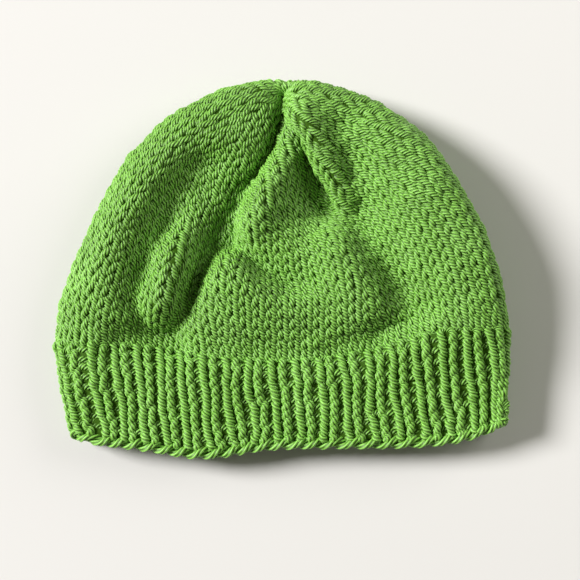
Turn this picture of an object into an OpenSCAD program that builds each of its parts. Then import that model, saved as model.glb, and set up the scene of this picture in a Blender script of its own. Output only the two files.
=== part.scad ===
// Hand-knit ribbed beanie, lying on its back layer with the brim opening towards -Y and the crown
// towards +Y. It is one seamless knitted tube, closed at the crown, so every solid below is a zone of
// the same fabric that meets its neighbours face to face.

/* [Cap] */
// Width across the widest part, lying flat
cap_w = 220; // [200:1:240]
// Length from the lowest point of the brim to the crown edge, lying flat
cap_l = 181; // [170:1:195]
// Height of the fabric's middle plane at the puffed front
body_h = 27; // [24:1:34]
// Thickness of the plain knitted fabric
fabric_t = 4.4; // [3.6:0.2:5]
// Height of the fold line that runs round the sides
fold_h = 9.5; // [8:0.5:11]

/* [Brim] */
// Depth of the ribbed band, from the cast-on edge to the last ribbed row
band_l = 47; // [40:1:54]
// Ribs across the front layer
ribs = 20; // [14:2:24]
// Height of the ribs over the purl columns between them
rib_rise = 1.8; // [1:0.1:2.2]
// Height of the fabric's middle plane at the front lip of the opening
lip_h = 15; // [13:0.5:18]
// Diameter of the corded cast-on edge
edge_d = 4.4; // [4:0.2:4.8]
// How far the band draws in at its left and right corners
corner_in = [7, 2]; // [0:1:9]

/* [Crown] */
// Distance from the crown edge to the gathered point on the front
pole_in = 8.5; // [6:0.5:12]
// Share of the rows above the band that are plain body, before the crown is shaped
body_share = 0.333; // [0.3:0.01:0.4]
// Diameter of the yarn
yarn_d = 3.2; // [2.6:0.1:3.6]

/* [Folds] */
// Depth of the long crease left of the middle
left_crease = 9; // [0:0.5:10]
// Depth of the short crease right of the middle
right_crease = 6; // [0:0.5:8]
// Depth of the soft valley inside the left fold
left_valley = 6; // [0:0.5:8]
// Depth of the soft valley right of the middle
right_valley = 4; // [0:0.5:6]

/* [Hidden] */

knit_green = [0.32, 0.58, 0.16];
half_w = cap_w / 2 - fabric_t / 2;
band_top_y = band_l - cap_l / 2 + 4.5;
dome_l = cap_l / 2 - fabric_t / 2 - band_top_y;
edge_bulge = 4.6;
lip_y = (edge_d - cap_l) / 2 + edge_bulge;
back_h = fabric_t / 2;
// Positions round the cap are counted in wedges: 0 is the right fold, 4 the left, 0 to 4 the front
wedges = 8;
half_turn = wedges / 2;
// The side folds are quarter ellipses over and under the fold line. As shares of the half width,
// this is how wide each one is, how long it is unrolled, and how far the middle is unrolled.
fold_share = 0.1;
fold_unrolled = 0.14;
middle_unrolled = 1 - fold_share + fold_unrolled;
// The flat underside starts this far round from each fold line
flat_from = 0.36;
// How far the gathered point lies past the crown edge, unrolled
pole_unrolled = fold_unrolled * acos(1 - (pole_in - fabric_t / 2) / dome_l / fold_share) / 90;
// Handle lengths of the curves that the columns of stitches follow, at the sides and in the middle
side_handle = 0.5523;
middle_handle = 0.36;
// The wedges end at this share of the rows above the band, where the drawn-up loop starts
crown_end = 0.965;
step = 0.002;

// Fold lines on the front as [x, y, share of the full depth], from the crown down
left_crease_line = [
    [-2, 78, 0.7], [-7, 58, 0.9], [-12, 45, 1], [-21, 33, 1], [-31, 20, 1], [-38, 8, 0.8], [-46, -12, 0]
];
right_crease_line = [[3, 76, 0.6], [4.5, 64, 1], [9, 55, 1], [13, 45, 1], [20, 33, 0]];
left_valley_line = [[-37, 68, 0.2], [-47, 50, 1], [-64, 26, 1], [-78, 4, 0.7], [-84, -20, 0.2]];
right_valley_line = [[19, 78, 0.3], [26, 62, 1], [30, 40, 1], [38, 10, 0.7], [56, -18, 0.5], [62, -30, 0]];

function smooth(x) = let (c = min(1, max(0, x))) c * c * (3 - 2 * c);
function mix(a, b, k) = a + (b - a) * k;
function bell(d, width) = exp(-pow(d / width, 2));

// Depth of a fold at point p, for one stretch of its line from a to b
function stretch_dip(p, a, b, width) =
    let (
        along = [b.x - a.x, b.y - a.y],
        k = min(1, max(0, ([p.x - a.x, p.y - a.y] * along) / (along * along))),
        d = norm([p.x - a.x, p.y - a.y] - along * k)
    )
    mix(a.z, b.z, k) * bell(d, width);
function dip(p, line, width) =
    max([for (i = [0 : len(line) - 2]) stretch_dip(p, line[i], line[i + 1], width)]);

// Middle plane of the front layer over a point of the plan
function front_h(p) =
    mix(lip_h, body_h, smooth((p.y - lip_y) / (0.55 * cap_l)))
    - 3 * smooth((p.y - 40) / 50)
    - 3 * pow(p.x / half_w, 2)
    - left_crease * dip(p, left_crease_line, 9)
    - right_crease * dip(p, right_crease_line, 8)
    - left_valley * dip(p, left_valley_line, 15)
    - right_valley * dip(p, right_valley_line, 13);

// Share of the half width at an unrolled distance in from the fold line, above 0 on the front
function share_at(inward) =
    let (d = abs(inward))
    d < fold_unrolled
    ? 1 - fold_share * (1 - cos(90 * d / fold_unrolled))
    : 1 - fold_share - (d - fold_unrolled);
function layer_h(p, inward) =
    mix(fold_h, inward >= 0 ? front_h(p) : back_h, sin(90 * min(1, abs(inward) / fold_unrolled)));

// Position round the cap, folded over to the front, and which layer it is on
function wrap(w) = w < 0 ? w + wedges : w > wedges ? w - wedges : w;
function folded(w) = w <= half_turn ? w : wedges - w;
function layer(w) = w <= half_turn ? 1 : -1;

// Lower edge of the band, which bulges left of the middle and rises at the corners
function edge_y(x) = lip_y - edge_bulge * bell(x + 38, 24) + 6 * pow(abs(x) / half_w, 8);
function draw_in(x, k) = (x < 0 ? corner_in[0] : corner_in[1]) * pow(1 - k, 2) / half_w;

// Point of the band's middle plane, k from 0 at the cast-on edge to 1 at the band's top
function band_point(w, k) =
    let (
        u = 1 - folded(wrap(w)) / 2,
        inward = layer(wrap(w)) * (1 - abs(u)) * middle_unrolled,
        x = sign(u) * half_w * share_at(inward) * (1 - draw_in(u, k)),
        y = mix(edge_y(x), band_top_y, k)
    )
    [x, y, layer_h([x, y], inward)];

// Point of the dome's middle plane, k from 0 at the band's top to 1 at the gathered point. Each
// column of stitches is a cubic curve that leaves the band upright and meets the others like spokes.
function dome_point(w, k) =
    let (
        m = folded(wrap(w)),
        u = 1 - m / 2,
        handle = mix(side_handle, middle_handle, pow(sin(45 * m), 2)),
        spoke = [handle * cos(45 * m), 1 - handle * sin(45 * m)],
        at = pow(1 - k, 3) * [u, 0] + 3 * pow(1 - k, 2) * k * [u, handle]
            + 3 * (1 - k) * k * k * spoke + pow(k, 3) * [0, 1],
        out = min(1, norm(at)),
        inward = layer(wrap(w)) * (1 - out) * middle_unrolled + pole_unrolled * smooth((k - 0.35) / 0.65),
        plan = share_at(inward) * at / max(norm(at), 0.001),
        x = half_w * plan.x,
        y = band_top_y + dome_l * plan.y
    )
    [x, y, layer_h([x, y], inward)];

// k runs from -1 at the cast-on edge through 0 at the band's top to 1 at the gathered point
function cap_point(w, k) = k < 0 ? band_point(w, 1 + k) : dome_point(w, k);
function cap_out(w, k) =
    let (
        n = cross(
            cap_point(w + step, k) - cap_point(w - step, k),
            cap_point(w, min(k + step, 0.999)) - cap_point(w, max(k - step, -1))
        )
    )
    -n / norm(n);

// Grid of points off the middle plane by half the thickness given for each loop position
function skin(ws, ks, side) =
    [for (k = ks) [for (w = ws) cap_point(w, k) + cap_out(w, k) * side]];
function steps(from, to, n) = [for (i = [0 : n]) mix(from, to, i / n)];

// Closed solid between an outer and an inner grid of points. A closed one runs all the way round.
module slab(outer, inner, closed = false) {
    rows = len(outer);
    cols = len(outer[0]);
    size = rows * cols;
    function at(r, c) = r * cols + c % cols;
    sheet = [
        for (r = [0 : rows - 2], c = [0 : cols - (closed ? 1 : 2)])
            each [[at(r, c), at(r + 1, c), at(r, c + 1)], [at(r, c + 1), at(r + 1, c), at(r + 1, c + 1)]]
    ];
    ends = [
        for (c = [0 : cols - (closed ? 1 : 2)])
            each [[at(0, c), at(0, c + 1)], [at(rows - 1, c + 1), at(rows - 1, c)]]
    ];
    sides = closed ? [] : [
        for (r = [0 : rows - 2]) each [[at(r, cols - 1), at(r + 1, cols - 1)], [at(r + 1, 0), at(r, 0)]]
    ];
    polyhedron(
        points = [each [for (row = outer) each row], each [for (row = inner) each row]],
        faces = concat(
            sheet,
            [for (f = sheet) [f[0] + size, f[2] + size, f[1] + size]],
            [
                for (e = concat(ends, sides))
                    each [[e[0], e[1], e[0] + size], [e[1], e[1] + size, e[0] + size]]
            ]
        )
    );
}

// Piece of plain fabric between two loop positions and two levels
module fabric(w_from, w_to, cols, k_from, k_to, rows) {
    ws = steps(w_from, w_to, cols);
    ks = steps(k_from, k_to, rows);
    slab(skin(ws, ks, fabric_t / 2), skin(ws, ks, -fabric_t / 2));
}

// Ribbed fabric: the outer face rises at each knit column and falls at each purl column
module ribbed(w_from, w_to, k_rows) {
    pitch = half_turn / ribs;
    cols = round(4 * (w_to - w_from) / pitch);
    ws = steps(w_from, w_to, cols);
    ks = steps(-1 + edge_d / 2 / band_l, 0, k_rows);
    outer = [
        for (k = ks) [
            for (w = ws)
                cap_point(w, k)
                + cap_out(w, k) * (fabric_t / 2 - rib_rise * (0.5 - 0.5 * cos(360 * w / pitch)))
        ]
    ];
    slab(outer, skin(ws, ks, -fabric_t / 2));
}

// Round yarn or cord along a list of points
module strand(line, d, sides, closed = false) {
    n = len(line);
    function at(i) = closed ? line[(i + n) % n] : line[min(n - 1, max(0, i))];
    rings = [
        for (i = [0 : n - 1])
            let (
                ahead = at(i + 1) - at(i - 1),
                t = ahead / norm(ahead),
                up0 = [0, 0, 1] - t * t.z,
                up = up0 / norm(up0),
                side = cross(t, up)
            )
            [
                for (s = [0 : sides - 1])
                    let (turn = 360 * s / sides)
                        at(i) + (up * cos(turn) + side * sin(turn)) * d / 2
            ]
    ];
    joins = closed ? n : n - 1;
    tube = [
        for (i = [0 : joins - 1], s = [0 : sides - 1])
            let (
                a = i * sides + s,
                b = i * sides + (s + 1) % sides,
                c = ((i + 1) % n) * sides + s,
                e = ((i + 1) % n) * sides + (s + 1) % sides
            )
            each [[a, c, b], [b, c, e]]
    ];
    ends = closed ? [] : [
        [for (s = [0 : sides - 1]) s],
        [for (s = [sides - 1 : -1 : 0]) (n - 1) * sides + s]
    ];
    polyhedron(points = [each [for (r = rings) each r]], faces = concat(tube, ends));
}

module cast_on_edge() color(knit_green)
    strand([for (i = [0 : 95]) cap_point(wedges * i / 96, -1)], edge_d, 8, closed = true);

module rib_band_front() color(knit_green) ribbed(-flat_from, half_turn + flat_from, 6);

module rib_band_back() color(knit_green) ribbed(half_turn + flat_from, wedges - flat_from, 3);

module body_front() color(knit_green)
    fabric(-flat_from, half_turn + flat_from, 48, 0, body_share, 9);

// The layer underneath lies flat on the floor
module body_back() color(knit_green) {
    left = half_turn + flat_from;
    right = wedges - flat_from;
    rim = concat(
        [for (w = steps(left, right, 40)) cap_point(w, 0)],
        [for (k = steps(0, body_share, 9)) cap_point(right, k)],
        [for (w = steps(right, left, 40)) cap_point(w, body_share)],
        [for (k = steps(body_share, 0, 9)) cap_point(left, k)]
    );
    // Each side's last point is the next side's first
    outline = [for (i = [0 : len(rim) - 1]) if (norm(rim[i] - rim[(i + 1) % len(rim)]) > step) rim[i]];
    linear_extrude(height = fabric_t) polygon([for (p = outline) [p.x, p.y]]);
}

module crown_wedge(i) color(knit_green)
    fabric(i - 1, i, 12, body_share, crown_end, 14);

// The last stitches, drawn up tight on the yarn's end
module crown_gather() color(knit_green) {
    ws = [for (i = [0 : 31]) wedges * i / 32];
    ks = steps(crown_end, 0.995, 4);
    slab(skin(ws, ks, fabric_t / 2), skin(ws, ks, -fabric_t / 2), closed = true);
}

// Yarn ends, woven along the inside of the fabric
module cast_on_tail() color(knit_green)
    strand(
        [
            for (k = steps(-0.9, -0.2, 10))
                cap_point(7.35 + 0.03 * cos(720 * k), k) + [0, 0, back_h + yarn_d / 2]
        ],
        yarn_d, 8
    );

module closing_tail() color(knit_green)
    strand(
        [for (k = steps(0.55, 0.85, 10)) cap_point(2.6, k) - cap_out(2.6, k) * (fabric_t + yarn_d) / 2],
        yarn_d, 8
    );

cast_on_edge();
rib_band_front();
rib_band_back();
body_front();
body_back();
crown_wedge(1);  // crown_wedge_1
crown_wedge(2);  // crown_wedge_2
crown_wedge(3);  // crown_wedge_3
crown_wedge(4);  // crown_wedge_4
crown_wedge(5);  // crown_wedge_5
crown_wedge(6);  // crown_wedge_6
crown_wedge(7);  // crown_wedge_7
crown_wedge(8);  // crown_wedge_8
crown_gather();
cast_on_tail();
closing_tail();
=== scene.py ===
"""Looks of a hand-knit ribbed beanie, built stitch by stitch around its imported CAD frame.

The cap lies flat: +Z is up, the brim opening faces -Y and the crown points to +Y. Lengths in this
script are in millimetres until a mesh is made.

Two coordinates give every place on the fabric. The loop position w counts the crown's wedges round
the cap: 0 is the right side fold, 4 the left one, and 0 to 4 is the front. The level k is -1 at the
edge, 0 at the band's top and 1 at the pole of the crown.
"""

import bpy
import numpy as np
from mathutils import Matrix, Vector


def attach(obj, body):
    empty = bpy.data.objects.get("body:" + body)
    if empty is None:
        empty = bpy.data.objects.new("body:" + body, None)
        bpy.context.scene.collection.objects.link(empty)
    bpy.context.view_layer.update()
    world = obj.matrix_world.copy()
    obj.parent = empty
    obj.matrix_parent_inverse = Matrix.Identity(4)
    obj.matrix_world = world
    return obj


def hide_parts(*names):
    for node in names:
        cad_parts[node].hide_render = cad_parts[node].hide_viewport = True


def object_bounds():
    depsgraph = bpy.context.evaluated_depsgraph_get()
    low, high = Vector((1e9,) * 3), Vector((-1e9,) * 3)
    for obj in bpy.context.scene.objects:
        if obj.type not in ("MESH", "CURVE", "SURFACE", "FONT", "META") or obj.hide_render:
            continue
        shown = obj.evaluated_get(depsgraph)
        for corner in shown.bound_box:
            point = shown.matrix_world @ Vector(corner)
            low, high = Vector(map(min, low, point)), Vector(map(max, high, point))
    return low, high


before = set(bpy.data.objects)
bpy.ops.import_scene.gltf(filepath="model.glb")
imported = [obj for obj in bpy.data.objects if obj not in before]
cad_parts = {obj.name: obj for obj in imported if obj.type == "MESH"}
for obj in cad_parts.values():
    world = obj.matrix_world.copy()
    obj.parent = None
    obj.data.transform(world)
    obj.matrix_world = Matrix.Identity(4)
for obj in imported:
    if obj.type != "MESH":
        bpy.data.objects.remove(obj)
cad_low, cad_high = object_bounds()
MM = 0.001
rng = np.random.default_rng(7)

# ---------------------------------------------------------------- sizes of the cap, from its frame
FABRIC = 4.4
CAP_W = (cad_high.x - cad_low.x) / MM
CAP_L = (cad_high.y - cad_low.y) / MM
HALF_W = (CAP_W - FABRIC) / 2
# The band is this long, and its foot lies a little in from the lowest point of the cap
BAND_L = 47.0
BAND_FOOT = 4.5
BAND_TOP_Y = BAND_L - CAP_L / 2 + BAND_FOOT
DOME_L = (CAP_L - FABRIC) / 2 - BAND_TOP_Y
# The edge bulges towards -Y, and the band's left and right corners are drawn in
EDGE_BULGE = 4.6
LIP_Y = (FABRIC - CAP_L) / 2 + EDGE_BULGE
CORNER_IN = (8.3, 1.5)

# Heights of the fabric's middle plane: the front layer at the edge and on the body, the left and
# right side folds, and the back layer
LIP_H = 15.0
BODY_H = 29.0
FOLD_H = (9.5, 17)
BACK_H = 2.9
# At its deepest the front layer lies on the back one
ON_BACK = 8.5
GATHER_DEPTH = 7
GATHER_SPREAD = 0.055

WEDGES = 8
# Share of the half width that the rounded left and right side folds take, and the same unrolled
FOLD_SHARE = (0.135, 0.055)
FOLD_UNROLLED = 0.14
# The crown's pole lies a little short of the far end, on top of the roll
POLE_IN = 8.5
POLE_SHARE = (POLE_IN - FABRIC / 2) / DOME_L / np.mean(FOLD_SHARE)
POLE_UNROLLED = FOLD_UNROLLED * np.arccos(1 - POLE_SHARE) / (np.pi / 2)
# Handles of the Bezier curves that the columns of stitches follow to the pole, and the last level
SIDE_HANDLE = 0.5523
MIDDLE_HANDLE = 0.36
CROWN_END = 0.985

# ---------------------------------------------------------------- knitting
RIB_ROUNDS = 10
BODY_ROUNDS = 9
CROWN_ROUNDS = 18
ROUNDS = RIB_ROUNDS + BODY_ROUNDS + CROWN_ROUNDS
WEDGE_STITCHES = 10
# Crown rounds in which each wedge loses a stitch, and the plain stitches that follow in the wedge
DECREASE_ROUNDS = (5, 7, 9, 10, 12, 13, 15, 16, 17)
STITCHES_PAST_DECREASE = 3
# A stitch's width and length, which the springs hold to as the fabric settles, and the number of settling
# passes
STITCH_W = 5.7
ROUND_L = 4.7
SETTLING_PASSES = 260

YARN_R = 1.72
RIB_YARN_R = 1.86
YARN_FLAT = 0.88
PLIES = 4
PLY_PITCH = 6.8
RING_STEP = 0.72
PATH_STEPS = 28

# A loop's shape: spread of its legs and bow of its head in stitches, its height in rounds, its
# depth in millimetres, and how far knit and purl stitches stand out
RIB_LOOP = (0.2, 0.19, 0.84, 1.05, (0.95, 0.7))
PLAIN_LOOP = (0.24, 0.0, 0.9, 1.2, (0.0, 0.0))
DECREASE_LIFT = 0.8
# From this angle to the ends of a rib's loop, the yarn passes to the other side of the fabric
RIB_TURN = 2.2
# How hand-knit loops vary: height and level in rounds, depth and lift in millimetres, and place
# along the round in stitches
UNEVEN_HEIGHT = 0.07
UNEVEN_LEVEL = 0.05
UNEVEN_DEPTH = 0.15
UNEVEN_LIFT = 0.25
UNEVEN_PLACE = 0.08

# Folds of the front: height, widths to the left and right of the line that it follows, sharpness,
# and the line from the crown down as [x, y, share of the height]
FOLDS = {
    "left crease": (-17, 5, 2.8, 1.4, [
        (2.5, 83, 0.5), (0.5, 68, 0.6), (-2.5, 57, 0.8), (-8.5, 46, 1), (-14.5, 36, 1),
        (-19, 26, 1), (-22, 19, 1), (-27, 11, 0.6), (-32, 4, 0)]),
    "left crease's foot": (-13, 7, 6, 2, [
        (-22, 20, 0), (-27, 11, 0.9), (-36, 0, 1), (-42, -12, 0.9), (-46, -22, 0.8), (-51, -31, 0.4)]),
    "left crease's slope": (-9, 9, 5, 2, [
        (-12, 46, 0.3), (-19, 34, 0.8), (-28, 20, 1), (-37, 5, 0.8), (-43, -12, 0.4)]),
    "right crease": (-19, 24, 2, 1, [
        (2.5, 76, 0.3), (5, 66, 0.7), (9, 58, 0.9), (12, 52, 1), (15, 46, 1), (19, 39, 1), (22, 33, 1),
        (23.5, 27, 0.7), (24, 21, 0.35), (24, 13, 0)]),
    "hollow by the right crease": (-6, 12, 6, 2, [
        (13, 42, 0.2), (17, 34, 0.8), (18.5, 26, 1), (18, 19, 0.6), (16, 13, 0)]),
    "tongue": (8, 4, 9, 2.2, [
        (4, 76, 0.4), (2.5, 66, 0.9), (-2.5, 52, 1), (-7.5, 41, 1), (-12.5, 30, 1), (-15, 20, 0.7),
        (-14, 12, 0)]),
    "left shoulder": (-6, 10, 11, 2, [
        (-40, 78, 0.2), (-62, 66, 0.8), (-75, 52, 1), (-88, 30, 1), (-95, 12, 1), (-100, -10, 1),
        (-103, -35, 0.5)]),
    "left puff": (4, 6, 5, 2, [
        (-45, 20, 0.3), (-48, 12, 1), (-53, -4, 1), (-57, -18, 0.9), (-59, -26, 0)]),
    "left hollow": (-12, 13, 23, 3.2, [
        (-30, 60, 0.1), (-41, 42, 1), (-51, 27, 0.9), (-60, 12, 0.2), (-64, 4, 0)]),
    "left valley": (-11, 10, 7, 2, [
        (-53, 27, 0.2), (-62, 12, 0.8), (-67, -3, 0.9), (-69, -17, 0.7), (-66, -28, 0.7), (-56, -34, 0.6)]),
    "bulge by the gather": (4, 5, 5, 2, [
        (9, 78, 0.3), (13, 66, 0.9), (18, 54, 1), (24, 42, 1), (28, 33, 0)]),
    "right valley": (-9, 9, 15, 2, [
        (25, 74, 0.2), (29, 64, 0.7), (32, 54, 0.9), (34, 44, 0.9), (36, 35, 0.6), (37, 26, 0.2)]),
    "right plateau": (5.5, 24, 24, 2, [
        (38, 76, 0.4), (50, 58, 0.8), (64, 34, 1), (72, 4, 1), (76, -22, 1)]),
    "slanting valley": (-13, 12, 18, 2, [
        (33, 34, 0.4), (38, 22, 1), (47, 7, 1), (57, -9, 1), (64, -18, 0.6)]),
    "bulge by the slanting valley": (4.5, 12, 8, 2, [
        (20, 22, 0.1), (24, 12, 0.9), (32, -3, 1), (40, -16, 0.7), (44, -24, 0.1)]),
    "right hollow": (-5, 6, 10, 2, [(66, -18, 0.4), (56, -27, 1), (46, -32, 1), (36, -34, 0.4)]),
    "pinch over the band": (-8, 10, 9, 2, [
        (-88, -32, 0.2), (-78, -36, 0.8), (-62, -38, 1), (-50, -40, 0.7)]),
    "groove over the band": (-4, 5, 12, 2, [
        (-50, -40, 0.6), (-20, -44, 1), (20, -44, 1), (45, -38, 0.8), (62, -32, 0.3)]),
    "soft crease": (-11, 7, 9, 2, [
        (-24, 12, 1), (-17, 4, 1), (-9, -3, 1), (1, -8, 0.9), (10, -9, 0.6), (18, -6, 0)]),
    "low bulge": (4, 9, 10, 2, [(-27, -4, 0.8), (-18, -12, 1), (-8, -17, 0.8), (4, -22, 0.3)]),
}
# How far the two creases lean under the fabric beside them, along x and y
LEANS = {"left crease": (-3, 1.4), "right crease": (2.5, -0.5)}


def smooth(x):
    c = np.clip(x, 0, 1)
    return c * c * (3 - 2 * c)


def mix(a, b, k):
    return a + (b - a) * k


def bell(d, width):
    return np.exp(-((d / width) ** 2))


def length_along(point):
    """Length so far at each point of a line."""
    return np.concatenate([[0], np.linalg.norm(np.diff(point, axis=0), axis=1).cumsum()])


# ---------------------------------------------------------------- the fabric's middle plane
def fold(x, y, left, right, sharpness, line):
    """Share of a fold's height at points of the plan."""
    most = np.zeros_like(x)
    for (ax, ay, a), (bx, by, b) in zip(line, line[1:]):
        along_x, along_y = bx - ax, by - ay
        k = np.clip(((x - ax) * along_x + (y - ay) * along_y) / (along_x**2 + along_y**2), 0, 1)
        off_x, off_y = x - ax - along_x * k, y - ay - along_y * k
        off = np.sqrt(off_x**2 + off_y**2 + 0.3)
        side = (along_x * off_y - along_y * off_x) / np.hypot(along_x, along_y) / off
        d = off / mix(left, right, smooth(0.5 + 0.5 * side))
        most = np.maximum(most, mix(a, b, k) * np.exp(-(d**sharpness)))
    return most


def front_height(x, y):
    """Height of the front layer at points of the plan, and how far its creases lean there."""
    rise_l = 0.55 * CAP_L
    crown_y, crown_l, crown_drop = 40, 50, 3
    z = mix(LIP_H, BODY_H, smooth((y - LIP_Y) / rise_l))
    z = z - crown_drop * smooth((y - crown_y) / crown_l)
    shares = {name: fold(x, y, *shape) for name, (_, *shape) in FOLDS.items()}
    z = z + sum(FOLDS[name][0] * share for name, share in shares.items())
    lean = sum(shares[name][..., None] * np.array(shift) for name, shift in LEANS.items())
    return ON_BACK + np.logaddexp(0, z - ON_BACK), lean


def share_at(inward, fold_share):
    """Share of the half width, or of the dome's length, at an unrolled distance from the fold."""
    d = np.abs(inward)
    roll = 1 - fold_share * (1 - np.cos(np.pi / 2 * np.minimum(d / FOLD_UNROLLED, 1)))
    return np.where(d < FOLD_UNROLLED, roll, 1 - fold_share - (d - FOLD_UNROLLED))


def dome_plan(u, angle, t):
    """Place on a unit half disc, at share t of the way from the band's top to the pole.

    A column of stitches is a cubic Bezier curve. It leaves the band straight and reaches the pole
    at its own angle.
    """
    handle = mix(SIDE_HANDLE, MIDDLE_HANDLE, np.sin(angle) ** 2)
    at_x = (1 - t) ** 3 * u + 3 * (1 - t) ** 2 * t * u + 3 * (1 - t) * t**2 * handle * np.cos(angle)
    at_y = 3 * (1 - t) ** 2 * t * handle + 3 * (1 - t) * t**2 * (1 - handle * np.sin(angle)) + t**3
    return at_x, at_y


def edge_y(x):
    """Line of the edge: a bulge left of the middle, and corners that curl up towards the body."""
    rise_left, rise_right = 8, 11
    from_middle = np.abs(x) / HALF_W
    corner = np.where(x < 0, rise_left * from_middle**8, rise_right * from_middle**6)
    return LIP_Y - EDGE_BULGE * bell(x + 38, 24) + corner


def band_sag(x):
    """How far the band's top strays from a straight line: low in the middle, high on the right."""
    offset, low, high = 2, 8, 8
    return offset - low * bell(x + 5, 50) + high * smooth((x - 35) / 50)


def side_stretch(x, y):
    """How the cap's sides stray from its plain outline, as a factor on x."""
    left = -0.056 * bell(y - 25, 38)
    right = 0.017 * bell(y - 68, 20) - 0.028 * bell(y - 15, 36) - 0.01
    return 1 + np.where(x < 0, left, right)


def cap_point(w, k):
    """Points of the fabric's middle plane at loop positions w and levels k."""
    w = np.mod(w, WEDGES)
    from_right = np.where(w <= 4, w, WEDGES - w)
    layer = np.where(w <= 4, 1.0, -1.0)
    # u is 1 at the right fold and -1 at the left one
    u = 1 - from_right / 2

    # The dome: the unrolled distance in from its rim gives the share of its radius
    t = np.clip(k, 0, 1)
    at_x, at_y = dome_plan(u, np.pi / 4 * from_right, t)
    size = np.maximum(np.hypot(at_x, at_y), 0.001)
    fold_share = mix(*FOLD_SHARE, smooth(0.5 + at_x / 2))
    middle = 1 - fold_share + FOLD_UNROLLED
    in_dome = layer * (1 - np.minimum(1, size)) * middle + POLE_UNROLLED * smooth((t - 0.35) / 0.65)
    share = share_at(in_dome, fold_share)

    # The band: the same across its width, and its corners are drawn in at the foot
    up = 1 + np.minimum(k, 0)
    in_band = layer * (1 - np.abs(u)) * middle
    draw_in = np.where(u < 0, *CORNER_IN) * (1 - up) ** 1.2 / HALF_W
    band_x = np.sign(u) * HALF_W * share_at(in_band, fold_share) * (1 - draw_in)

    below = k < 0
    x = np.where(below, band_x, HALF_W * share * at_x / size)
    y = np.where(below, mix(edge_y(band_x), BAND_TOP_Y, up), BAND_TOP_Y + DOME_L * share * at_y / size)
    y = y + band_sag(x) * smooth(np.where(below, up, 1 - t / 0.45))
    x = x * side_stretch(x, y)

    # Heights follow the roll of the side folds. The front layer has its own folds and creases
    inward = np.where(below, in_band, in_dome)
    roll = np.sin(np.pi / 2 * np.minimum(1, np.abs(inward) / FOLD_UNROLLED))
    front, lean = front_height(x, y)
    fold_z = mix(*FOLD_H, smooth(0.5 + x / HALF_W))
    z = mix(fold_z, np.where(inward >= 0, front, BACK_H), roll)
    z = z - GATHER_DEPTH * bell(1 - t, GATHER_SPREAD)
    lean = lean * np.where(inward > 0, roll, 0)[..., None]
    return np.stack([x + lean[..., 0], y + lean[..., 1], z], -1)


def cap_frame(w, k):
    """Points of the middle plane with their outward directions."""
    step = 0.004
    across = cap_point(w + step, k) - cap_point(w - step, k)
    along = cap_point(w, np.minimum(k + step, 0.999)) - cap_point(w, k - step)
    out = -np.cross(across, along)
    return cap_point(w, k), out / np.linalg.norm(out, axis=-1, keepdims=True)


# ---------------------------------------------------------------- where each round of stitches lies
def stitches_in(course):
    """Stitches that a wedge has in a round."""
    done = course - RIB_ROUNDS - BODY_ROUNDS + 1
    return WEDGE_STITCHES - sum(1 for d in DECREASE_ROUNDS if d <= done)


def merging(n):
    """The first of the two stitches of a wedge that are knitted together where n become n - 1."""
    return max(0, n - 2 - STITCHES_PAST_DECREASE)


COUNTS = [stitches_in(c) * WEDGES for c in range(ROUNDS)]
FIRST = np.concatenate([[0], np.cumsum(COUNTS)])


def first_places():
    """Loop position and level of every stitch along the yarn, its rounds evenly spaced on the fabric."""
    w = np.concatenate([(np.arange(n) + 0.5) / n * WEDGES for n in COUNTS])
    level = np.concatenate([c + (np.arange(n) + 0.5) / n for c, n in enumerate(COUNTS)])
    k = level / RIB_ROUNDS - 1
    samples = 80
    up = np.linspace(0, CROWN_END, samples)
    way = cap_point(w[:, None], up[None, :])
    length = np.linalg.norm(np.diff(way, axis=1), axis=-1).cumsum(axis=1)
    length = np.concatenate([np.zeros((len(w), 1)), length], axis=1)
    share = (level - RIB_ROUNDS) / (ROUNDS - RIB_ROUNDS)
    for i in np.flatnonzero(share > 0):
        k[i] = np.interp(share[i] * length[i, -1], length[i], up)
    return w, k


def stitches_above():
    """Number of the stitch that holds each loop, for all rounds but the last."""
    above = []
    for c in range(ROUNDS - 1):
        n, after = stitches_in(c), stitches_in(c + 1)
        i = np.arange(n * WEDGES)
        above.append(FIRST[c + 1] + i // n * after + i % n - (i % n > merging(n)) * (n - after))
    return np.concatenate(above)


def settled_places(passes):
    """Places of the stitches after the fabric has slid over its folds until its stitches are even.

    Springs hold each stitch to its neighbours along the yarn, up the column and on the slant. The
    band's stitches and those of the last round stay where they are.
    """
    w, k = first_places()
    upper = stitches_above()
    lower = np.arange(len(upper))
    firm, soft = 1.0, 0.3
    slant = np.hypot(STITCH_W, ROUND_L)
    springs = [
        (np.arange(len(w) - 1), np.arange(1, len(w)), STITCH_W, firm),
        (lower, upper, ROUND_L, firm),
        (lower[1:], upper[1:] - 1, slant, soft),
        (lower[:-1], upper[:-1] + 1, slant, soft),
    ]
    free = slice(FIRST[RIB_ROUNDS], FIRST[ROUNDS - 1])
    step, damping, pull = 0.003, 20, 0.16
    for _ in range(passes):
        p = cap_point(w, k)
        force = np.zeros_like(p)
        for one, other, rest, stiffness in springs:
            d = p[other] - p[one]
            size = np.maximum(np.linalg.norm(d, axis=-1, keepdims=True), 1e-6)
            f = stiffness * (size - rest) * d / size
            np.add.at(force, one, f)
            np.subtract.at(force, other, f)
        by_w = (cap_point(w + step, k) - p) / step
        by_k = (cap_point(w, np.minimum(k + step, 0.999)) - p) / step
        ww = (by_w * by_w).sum(-1) + damping
        kk = (by_k * by_k).sum(-1) + damping
        wk = (by_w * by_k).sum(-1)
        push_w = (force * by_w).sum(-1)
        push_k = (force * by_k).sum(-1)
        det = ww * kk - wk * wk
        w[free] += (pull * (push_w * kk - push_k * wk) / det)[free]
        k[free] += (pull * (push_k * ww - push_w * wk) / det)[free]
        k = np.minimum(k, CROWN_END)
    return w, k


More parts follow.
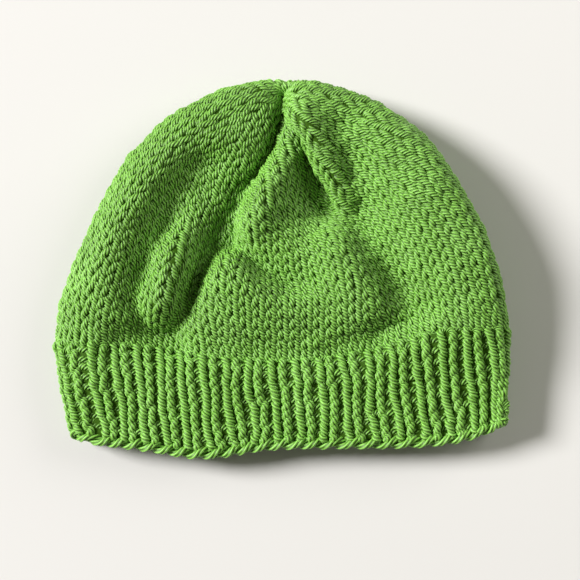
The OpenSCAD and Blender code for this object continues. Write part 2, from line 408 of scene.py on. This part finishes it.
def along_the_yarn(values, per_round):
    """Values at the stitches as one line up the spiral, with two more at each end."""
    rounds = np.repeat(np.arange(ROUNDS), COUNTS)
    line = values + per_round * rounds
    first, last = line[0] - line[1], line[-1] - line[-2]
    start = [line[0] + 2 * first, line[0] + first]
    end = [line[-1] + last, line[-1] + 2 * last]
    return np.concatenate([start, line, end])


settled_w, settled_k = settled_places(SETTLING_PASSES)
places = np.stack([along_the_yarn(settled_w, WEDGES), along_the_yarn(settled_k, 0)], -1)


def place_at(course, q):
    """Smooth loop position and level at a real stitch count q of a round."""
    number = np.clip(FIRST[course] + q + 1.5, 1, len(places) - 2.001)
    i = np.floor(number).astype(int)
    f = (number - i)[:, None]
    p0, p1, p2, p3 = (places[np.clip(i + d, 0, len(places) - 1)] for d in (-1, 0, 1, 2))
    value = p1 + f * (p2 - p0 + f * (2 * p0 - 5 * p1 + 4 * p2 - p3 + f * (3 * p1 - p0 - 3 * p2 + p3))) / 2
    return value - (WEDGES * course, 0)


def place_below(course, wedge, q, here):
    """Places of the loops that the loops of a round come through."""
    if course == 0:
        return np.stack([here[:, 0], np.full(len(q), -0.99)], -1)
    n, before = stitches_in(course), stitches_in(course - 1)
    came_from = q + np.clip(q - merging(before), 0, 1) * (before - n)
    return place_at(course - 1, wedge * before + came_from)


def place_above(course, wedge, q, here, below):
    """Places of the loops that hold the loops of a round."""
    if course == ROUNDS - 1:
        return 2 * here - below
    n, after = stitches_in(course), stitches_in(course + 1)
    holds = q - np.clip((q - merging(n)) / 2, 0, 1) * (n - after)
    return place_at(course + 1, wedge * after + holds)


def rib_wave(w, k):
    """How far the ribs stray from straight lines: a slow wave, and a lean to the right at the foot."""
    ease = smooth(-3 * k)
    turn = 2 * np.pi * w / WEDGES
    wave = ease * (0.012 * np.sin(5 * k + 5 * turn) + 0.008 * np.sin(9 * k + 13 * turn))
    return wave + np.minimum(k, 0) * (0.06 + 0.05 * np.cos(turn))


# ---------------------------------------------------------------- the yarn's path through its stitches
def above_floor(z):
    """Heights of the yarn's centre line, eased so that no yarn sinks into the floor."""
    clearance, sharpness, settled = 0.15, 3, 0.1
    rest = YARN_R * YARN_FLAT + clearance
    return rest + np.logaddexp(0, (z - rest) * sharpness) / sharpness - settled


def course_path(course):
    """One round of yarn: its points, outward directions and length so far, with the stitch count."""
    n = stitches_in(course)
    total = n * WEDGES
    t = np.arange(total * PATH_STEPS + 1) / PATH_STEPS
    stitch = np.minimum(t.astype(int), total - 1)
    tau = 2 * np.pi * (t - stitch) - np.pi
    j = stitch % n
    wedge = stitch // n

    def uneven(amount):
        values = rng.normal(0, amount, total)
        return np.interp(t, np.arange(total) + 0.5, values, period=total)

    rib = course < RIB_ROUNDS
    knit = np.where(stitch % 2 == 0, 1.0, -1.0) if rib else np.ones(len(t))
    spread, bow, tall, deep, stands_out = RIB_LOOP if rib else PLAIN_LOOP
    # The yarn passes from the front to the back of the fabric between a knit and a purl stitch
    turn = smooth((np.abs(tau) - RIB_TURN) / (np.pi - RIB_TURN))
    side = knit * (1 - turn) if rib else knit

    # The loop in its own measures: up in rounds, across in stitches, out in millimetres
    up = (tall + uneven(UNEVEN_HEIGHT)) * np.cos(tau) + uneven(UNEVEN_LEVEL)
    across = tau / (2 * np.pi) + spread * np.sin(2 * tau) + bow * np.sin(tau)
    proud = np.where(knit > 0, *stands_out)
    out = side * (proud - (deep + uneven(UNEVEN_DEPTH)) * np.cos(2 * tau)) + uneven(UNEVEN_LIFT)
    # Of two stitches knitted together, the second lies over the first
    over = np.where(j == merging(n) + 1, DECREASE_LIFT, np.where(j == merging(n), -DECREASE_LIFT, 0))
    out = out + over * (n - stitches_in(course + 1)) * np.maximum(0, up)

    # Each loop leans from the place of the loop that it comes through to that of the one it holds
    q = j + 0.5 + across + uneven(UNEVEN_PLACE)
    here = place_at(course, wedge * n + q)
    below = place_below(course, wedge, q, here)
    above = place_above(course, wedge, q, here, below)
    up = up[:, None]
    w, k = (here + up * (above - below) / 2 + up * up * (above + below - 2 * here) / 2).T
    w = w + rib_wave(w, k)

    point, outward = cap_frame(w, np.minimum(k, 0.99))
    point = point + outward * out[:, None]
    point[:, 2] = above_floor(point[:, 2])
    length = length_along(point)
    radius = RIB_YARN_R if rib else YARN_R
    return {"point": point, "out": outward, "length": length, "t": t, "n": n, "lift": out, "radius": radius}


def cut(path, w_from, w_to):
    """The part of a round between two loop positions, with rings evenly spaced along the yarn."""
    n = path["n"]
    start, end = np.interp([w_from * n, w_to * n], path["t"], path["length"])
    s = np.linspace(start, end, max(3, int(round((end - start) / RING_STEP)) + 1))
    point = np.stack([np.interp(s, path["length"], path["point"][:, i]) for i in range(3)], -1)
    out = np.stack([np.interp(s, path["length"], path["out"][:, i]) for i in range(3)], -1)
    lift = np.interp(s, path["length"], path["lift"])
    return point, out, s, lift


# ---------------------------------------------------------------- meshes
# The yarn's section has four points for each ply, and the first lies in the groove
SECTION_R = np.tile([0.52, 0.88, 1.0, 0.88], PLIES)
# Painted shade in the grooves between the plies and a painted highlight on their crests: 1 in a groove, 0
# on a crest
SECTION_GROOVE_SHADE = np.tile([1.0, 0.35, 0.0, 0.35], PLIES)
SECTION_A = np.arange(len(SECTION_R)) / len(SECTION_R) * 2 * np.pi


def tube_quads(rings, section):
    """Faces of a closed tube, its two ends filled with quads."""
    a = np.arange(rings - 1)[:, None] * section + np.arange(section)[None, :]
    b = np.arange(rings - 1)[:, None] * section + (np.arange(section)[None, :] + 1) % section
    wall = np.stack([a, b, b + section, a + section], -1).reshape(-1, 4)
    i = np.arange(section // 2 - 1)
    start = np.stack([i, section - 1 - i, section - 2 - i, i + 1], -1)
    end = start[:, ::-1] + (rings - 1) * section
    return np.concatenate([wall, start, end])


def yarn_tube(point, out, s, lift, radius, flat=YARN_FLAT, seed=0.0, pitch=PLY_PITCH):
    """Plied yarn along points: vertices, quads and what its material reads at each vertex.

    The attribute "yarn" holds the place along and around the yarn. "shade" holds painted shade: in the
    grooves between the plies, with a painted highlight on their crests, and deeper in the fabric.
    """
    along = np.gradient(point, axis=0)
    along /= np.linalg.norm(along, axis=1, keepdims=True)
    side = np.cross(along, out)
    side /= np.linalg.norm(side, axis=1, keepdims=True)
    up = np.cross(side, along)
    size = (len(point), len(SECTION_A))
    angle = SECTION_A[None, :] + (2 * np.pi * s / pitch)[:, None]
    r = radius * SECTION_R[None, :]
    vertices = (
        point[:, None, :]
        + side[:, None, :] * (r * np.cos(angle))[..., None]
        + up[:, None, :] * (r * np.sin(angle) * flat)[..., None]
    )
    around = np.broadcast_to(SECTION_A * radius, size)
    yarn = np.stack([np.broadcast_to(s[:, None], size), around, np.full(size, seed)], -1)
    height = np.abs(np.broadcast_to(lift, size[:1])[:, None] + r * np.sin(angle) * flat)
    # Painted shade: the nearer the yarn lies to the fabric's middle plane, the darker it is painted, as
    # shade falls between the stitches
    core, reach = 0.2, 2.4
    inside = 1 - smooth((height - core) / reach)
    shade = np.stack([np.broadcast_to(SECTION_GROOVE_SHADE, size), inside, inside], -1)
    return vertices.reshape(-1, 3), tube_quads(*size), yarn.reshape(-1, 3), shade.reshape(-1, 3)


def make_piece(name, parts, nodes, material):
    """One mesh object of several closed parts, which stands for CAD nodes."""
    start = np.cumsum([0] + [len(p[0]) for p in parts])
    vertices = np.concatenate([p[0] for p in parts]) * MM
    quads = np.concatenate([p[1] + s for p, s in zip(parts, start)])
    mesh = bpy.data.meshes.new(name)
    mesh.from_pydata(vertices, [], quads)
    mesh.shade_smooth()
    for i, attribute_name in ((2, "yarn"), (3, "shade")):
        attribute = mesh.attributes.new(attribute_name, "FLOAT_VECTOR", "POINT")
        values = np.concatenate([p[i] for p in parts]).astype(np.float32)
        attribute.data.foreach_set("vector", values.ravel())
    mesh.materials.append(material)
    mesh.validate()
    piece = bpy.data.objects.new(name, mesh)
    bpy.context.scene.collection.objects.link(piece)
    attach(piece, "root")
    if nodes:
        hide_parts(*nodes)
    return piece


# ---------------------------------------------------------------- materials
def new_material(name):
    material = bpy.data.materials.new(name)
    material.use_nodes = True
    nodes, links = material.node_tree.nodes, material.node_tree.links
    return material, nodes, links, nodes["Principled BSDF"]


def add_node(nodes, kind, values, **settings):
    """A new shader node with its settings and the values of its inputs."""
    node = nodes.new("ShaderNode" + kind)
    for name, value in settings.items():
        setattr(node, name, value)
    for name, value in values.items():
        node.inputs[name].default_value = value
    return node


def blend_in(nodes, links, amount, base, colour):
    """The socket of a base colour with another colour blended in by the amount's socket."""
    blend = add_node(nodes, "Mix", {"B": (*colour, 1)}, data_type="RGBA")
    links.new(amount, blend.inputs["Factor"])
    links.new(base, blend.inputs["A"])
    return blend.outputs["Result"]


def tone_ramp(nodes, dark, mid, light):
    ramp = nodes.new("ShaderNodeValToRGB")
    tones = ramp.color_ramp.elements
    tones[0].position = 0.3
    tones[0].color = (*dark, 1)
    tones[1].position = 0.72
    tones[1].color = (*light, 1)
    middle = tones.new(0.5)
    middle.color = (*mid, 1)
    return ramp


def wool(name, dark, mid, light, gloss_and_highlight=1.0):
    """Soft plied yarn: streaks along the fibres, slow shifts of hue, painted shade in the grooves between
    the plies and deep in the fabric, and a painted highlight on the plies' crests.
    """
    fibre_stretch = (0.45, 5.0, 1.0)
    fibre_share, patch_share = 0.68, 0.32
    # Painted highlight on the plies' crests; painted shade in the grooves and deep in the fabric, blended
    # towards the shadow colour
    painted_highlight_share, painted_highlight_colour = 0.1, (0.6, 1.0, 0.4)
    groove_shade_share, depth_shade_share = 0.9, 0.62
    shadow = [c * 0.22 for c in dark]
    material, nodes, links, shader = new_material(name)

    yarn = add_node(nodes, "Attribute", {}, attribute_name="yarn")
    stretch = add_node(nodes, "VectorMath", {1: fibre_stretch}, operation="MULTIPLY")
    fibres = add_node(nodes, "TexNoise", {"Scale": 1.0, "Detail": 4.0, "Roughness": 0.65})
    links.new(yarn.outputs["Vector"], stretch.inputs[0])
    links.new(stretch.outputs[0], fibres.inputs["Vector"])
    place = add_node(nodes, "TexCoord", {})
    patches = add_node(nodes, "TexNoise", {"Scale": 55.0, "Detail": 3.0})
    links.new(place.outputs["Object"], patches.inputs["Vector"])

    patch_tone = add_node(nodes, "Math", {1: patch_share}, operation="MULTIPLY")
    tone = add_node(nodes, "Math", {1: fibre_share}, operation="MULTIPLY_ADD")
    ramp = tone_ramp(nodes, dark, mid, light)
    links.new(patches.outputs["Fac"], patch_tone.inputs[0])
    links.new(fibres.outputs["Fac"], tone.inputs[0])
    links.new(patch_tone.outputs[0], tone.inputs[2])
    links.new(tone.outputs[0], ramp.inputs["Fac"])

    # Painted highlight on the crests of the plies, then painted shade in the grooves between them and
    # deeper in the fabric
    depth = add_node(nodes, "Attribute", {}, attribute_name="shade")
    parts = add_node(nodes, "SeparateXYZ", {})
    links.new(depth.outputs["Vector"], parts.inputs[0])
    crest_highlight = add_node(nodes, "MapRange", {"From Min": 0.45, "From Max": 0.0, "To Max": painted_highlight_share * gloss_and_highlight})
    links.new(parts.outputs["X"], crest_highlight.inputs["Value"])
    colour = blend_in(nodes, links, crest_highlight.outputs["Result"], ramp.outputs["Color"], painted_highlight_colour)
    for source, strength in (("X", groove_shade_share), ("Y", depth_shade_share)):
        amount = add_node(nodes, "Math", {1: strength}, operation="MULTIPLY")
        links.new(parts.outputs[source], amount.inputs[0])
        colour = blend_in(nodes, links, amount.outputs[0], colour, shadow)
    links.new(colour, shader.inputs["Base Color"])

    rough = add_node(nodes, "MapRange", {"To Min": 0.36, "To Max": 0.66})
    links.new(fibres.outputs["Fac"], rough.inputs["Value"])
    links.new(rough.outputs["Result"], shader.inputs["Roughness"])
    bump = add_node(nodes, "Bump", {"Strength": 0.6, "Distance": 0.0003})
    links.new(fibres.outputs["Fac"], bump.inputs["Height"])
    links.new(bump.outputs["Normal"], shader.inputs["Normal"])
    shader.inputs["Specular IOR Level"].default_value = 0.65 * gloss_and_highlight
    shader.inputs["Sheen Weight"].default_value = 0.14 * gloss_and_highlight
    shader.inputs["Sheen Roughness"].default_value = 0.45
    shader.inputs["Sheen Tint"].default_value = (0.6, 1.0, 0.45, 1)
    return material


def plain_floor():
    material, nodes, links, shader = new_material("pale floor")
    noise = add_node(nodes, "TexNoise", {"Scale": 3.0})
    ramp = nodes.new("ShaderNodeValToRGB")
    ramp.color_ramp.elements[0].color = (0.66, 0.65, 0.63, 1)
    ramp.color_ramp.elements[1].color = (0.7, 0.69, 0.67, 1)
    links.new(noise.outputs["Fac"], ramp.inputs["Fac"])
    links.new(ramp.outputs["Color"], shader.inputs["Base Color"])
    shader.inputs["Roughness"].default_value = 0.9
    return material


green_wool = wool("green_wool", dark=(0.12, 0.31, 0.004), mid=(0.235, 0.6, 0.046), light=(0.43, 0.81, 0.19))
# The matted fibres deep between the stitches, coloured dark as painted shade
deep_wool_painted_shade = wool(
    "deep_wool_painted_shade", dark=(0.1, 0.27, 0.012), mid=(0.17, 0.42, 0.03), light=(0.24, 0.54, 0.06), gloss_and_highlight=0.1)


# ---------------------------------------------------------------- the cap's yarn
def rows_of_yarn(courses, spans):
    """Tubes of the given rounds between pairs of loop positions."""
    return [
        yarn_tube(*cut(paths[c], a, b), paths[c]["radius"], seed=c * 3.7 + a)
        for c in courses
        for a, b in spans
    ]


paths = [course_path(c) for c in range(ROUNDS)]
BAND_COURSES = range(RIB_ROUNDS)
BODY_COURSES = range(RIB_ROUNDS, RIB_ROUNDS + BODY_ROUNDS)
CROWN_COURSES = range(RIB_ROUNDS + BODY_ROUNDS, ROUNDS)
# Zones of the band and the body: the layer they belong to and their spans of loop positions
ZONES = {
    "front_right": ("front", [(0, 1.2), (7.6, 8)]),
    "front_middle": ("front", [(1.2, 2.8)]),
    "front_left": ("front", [(2.8, 4.4)]),
    "back_left": ("back", [(4.4, 6)]),
    "back_right": ("back", [(6, 7.6)]),
}
for zone, (layer, spans) in ZONES.items():
    band = rows_of_yarn(BAND_COURSES, spans)
    make_piece(f"rib_band_{zone}", band, [f"rib_band_{layer}"], green_wool)
    body = rows_of_yarn(BODY_COURSES, spans)
    make_piece(f"body_{zone}", body, [f"body_{layer}"], green_wool)
for i in range(WEDGES):
    wedge = rows_of_yarn(CROWN_COURSES, [(i, i + 1)])
    make_piece(f"crown_wedge_{i + 1}_knit", wedge, [f"crown_wedge_{i + 1}"], green_wool)


def strand_on_band(level, w, out):
    """Points, outward directions and lengths of a yarn that follows the band."""
    k = level / RIB_ROUNDS - 1
    point, outward = cap_frame(w + rib_wave(w, k), k)
    point = point + outward * out[:, None]
    point[:, 2] = np.maximum(point[:, 2], YARN_R)
    return point, outward, length_along(point)


def cast_on_cord():
    """Two yarns that wind round each other along the edge and show as slanted strokes."""
    turns, radius, pitch, lift = 27, 1.65, 16, 2.0
    edge_level, level_swing, out_swing = -0.25, 0.38, 1.5
    w = np.linspace(0, WEDGES, 1400)
    tubes = []
    for start in (0, np.pi):
        angle = 2 * np.pi * turns * w / WEDGES + start
        level = edge_level - level_swing * np.sin(angle)
        point, out, s = strand_on_band(level, w, out_swing * np.cos(angle))
        tubes.append(yarn_tube(point, out, s, lift, radius, flat=1, seed=start, pitch=pitch))
    return tubes


def gather_ring():
    """The yarn's end, drawn round through the last stitches."""
    level, sunk, radius, lift = 0.978, 0.4, 1.25, 0.5
    w = np.linspace(0.2, WEDGES + 0.6, 90)
    point, out = cap_frame(w, np.full(len(w), level))
    point = point - out * sunk
    return [yarn_tube(point, out, length_along(point), lift, radius, flat=1)]


def woven_tail(w, k_from, k_to):
    """A yarn end, darned along the inside of the fabric."""
    inside, radius, lift = 2.6 + YARN_R, 1.4, 2.0
    k = np.linspace(k_from, k_to, 60)
    point, out = cap_frame(np.full(len(k), w), k)
    point = point - out * inside
    return [yarn_tube(point, out, length_along(point), lift, radius, flat=1)]


for name, tubes, node in (
    ("cast_on_cord", cast_on_cord(), "cast_on_edge"),
    ("gather_ring", gather_ring(), "crown_gather"),
    ("cast_on_tail_yarn", woven_tail(7.35, -0.9, -0.2), "cast_on_tail"),
    ("closing_tail_yarn", woven_tail(2.6, 0.55, 0.85), "closing_tail"),
):
    make_piece(name, tubes, [node], green_wool)


# ---------------------------------------------------------------- the fibres between the stitches, a dark sheet of painted shade
def ground_fabric_painted_shade():
    """The matted fibres between the stitches, as a thin closed skin in the fabric's middle plane, coloured
    dark as painted shade in the gaps between the stitches.
    """
    half, lowest = 0.8, 1.5
    # The first value is painted shade over the whole skin, as in the grooves and deep in the fabric
    depth, length, wedge_w = 0.8, 150, 56
    w = np.arange(160) / 20
    k = np.concatenate([np.linspace(-0.98, -0.02, 30), np.linspace(0, CROWN_END, 91)])
    point, out = cap_frame(*np.meshgrid(w, k, indexing="xy"))
    point[..., 2] = np.maximum(point[..., 2], lowest + half)
    vertices = np.concatenate([(point + out * half).reshape(-1, 3), (point - out * half).reshape(-1, 3)])

    rows, columns = point.shape[:2]
    size = rows * columns
    r, c = np.meshgrid(np.arange(rows - 1), np.arange(columns), indexing="ij")
    a, b = r * columns + c, r * columns + (c + 1) % columns
    outer = np.stack([a, a + columns, b + columns, b], -1).reshape(-1, 4)
    c = np.arange(columns)
    d = (c + 1) % columns
    top = (rows - 1) * columns
    rims = [
        np.stack([c, d, d + size, c + size], -1),
        np.stack([top + d, top + c, top + c + size, top + d + size], -1),
    ]
    quads = np.concatenate([outer, outer[:, ::-1] + size, *rims])
    yarn = np.stack([np.repeat(k * length, columns), np.tile(w * wedge_w, rows), np.zeros(size)], -1)
    return vertices, quads, np.concatenate([yarn, yarn]), np.full((len(vertices), 3), depth)


fabric = make_piece("ground_fabric_painted_shade", [ground_fabric_painted_shade()], [], deep_wool_painted_shade)


# ---------------------------------------------------------------- floor, light and camera
def make_floor():
    half = 3.0
    corners = [(-half, -half, 0), (half, -half, 0), (half, half, 0), (-half, half, 0)]
    mesh = bpy.data.meshes.new("floor")
    mesh.from_pydata(corners, [], [(0, 1, 2, 3)])
    mesh.materials.append(plain_floor())
    floor = bpy.data.objects.new("floor", mesh)
    bpy.context.scene.collection.objects.link(floor)


def look_at(thing, place, target):
    thing.location = place
    direction = np.array(target, float) - np.array(place, float)
    thing.rotation_mode = "QUATERNION"
    thing.rotation_quaternion = Vector(direction).to_track_quat("-Z", "Y")


def area_light(name, place, size, power, colour):
    data = bpy.data.lights.new(name, "AREA")
    data.shape = "DISK"
    data.size = size
    data.energy = power
    data.color = colour
    light = bpy.data.objects.new(name, data)
    bpy.context.scene.collection.objects.link(light)
    look_at(light, place, (0, 0, 0))


def make_world(strength, colour):
    world = bpy.data.worlds.new("studio")
    world.use_nodes = True
    background = world.node_tree.nodes["Background"]
    background.inputs["Color"].default_value = (*colour, 1)
    background.inputs["Strength"].default_value = strength
    bpy.context.scene.world = world


def make_camera():
    """Nearly straight above the cap, a little from the side of its opening."""
    distance = 0.75
    frame_width = 0.2795
    sensor_width = 36
    middle = np.array([0.0039, -0.0116, 0.012])
    tilt = np.radians(3)
    data = bpy.data.cameras.new("camera")
    data.sensor_width = sensor_width
    data.lens = sensor_width * distance / frame_width
    camera = bpy.data.objects.new("camera", data)
    bpy.context.scene.collection.objects.link(camera)
    place = middle + distance * np.array([0, -np.sin(tilt), np.cos(tilt)])
    look_at(camera, place, middle)
    bpy.context.scene.camera = camera


make_floor()
make_world(0.15, (1.0, 0.99, 0.82))
area_light("key", (-3.6, 1.05, 2.55), 1.5, 375, (1.0, 0.985, 0.99))
area_light("fill", (1.1, 0.6, 0.7), 1.0, 9, (1.0, 1.0, 0.93))
bpy.context.scene.view_settings.view_transform = "Standard"
make_camera()
